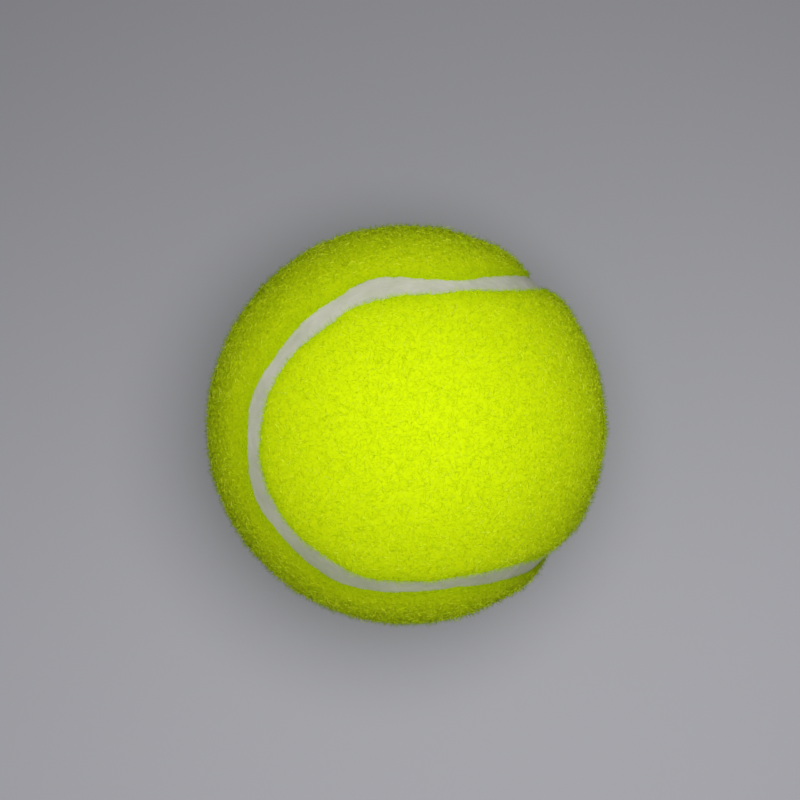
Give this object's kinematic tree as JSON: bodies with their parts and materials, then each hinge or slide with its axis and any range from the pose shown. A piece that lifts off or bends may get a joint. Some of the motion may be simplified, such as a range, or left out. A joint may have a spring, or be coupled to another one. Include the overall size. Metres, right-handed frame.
{
  "type": "tennis ball",
  "caption": "Felt-covered hollow rubber ball: a core of half shells under dog-bone felt cloths that meet along one curved seam of rubber cement.",
  "frame": {"origin": "centre of the ball", "axes": "+X out of the middle of the right cloth's waist, +Z out of the middle of one of its lobes and +Y out of the middle of a lobe of the left cloth; the seam is the same after a quarter turn about X with a mirror image"},
  "size_m": [0.067, 0.067, 0.067],
  "materials": {
    "felt": "needled wool and nylon felt, raised fibrous nap, fluorescent yellow-green, fully matte",
    "seam_cement": "cured pale grey rubber cement, matte",
    "cloth_backing": "vulcanised rubber coat on the back of the cloth, matte",
    "solution_coat": "thin dried rubber solution, satin",
    "core_cement": "cured rubber cement, satin",
    "core_rubber": "compression-moulded filled natural rubber, matte"
  },
  "bodies": {
    "root": {"core_half_upper": "core_rubber", "core_half_lower": "core_rubber", "core_joint_cement": "core_cement", "core_solution_coat": "solution_coat", "panel_backing_right": "cloth_backing", "panel_backing_left": "cloth_backing", "felt_panel_right": "felt", "felt_panel_left": "felt", "seam_cement": "seam_cement"}
  },
  "joints": []
}
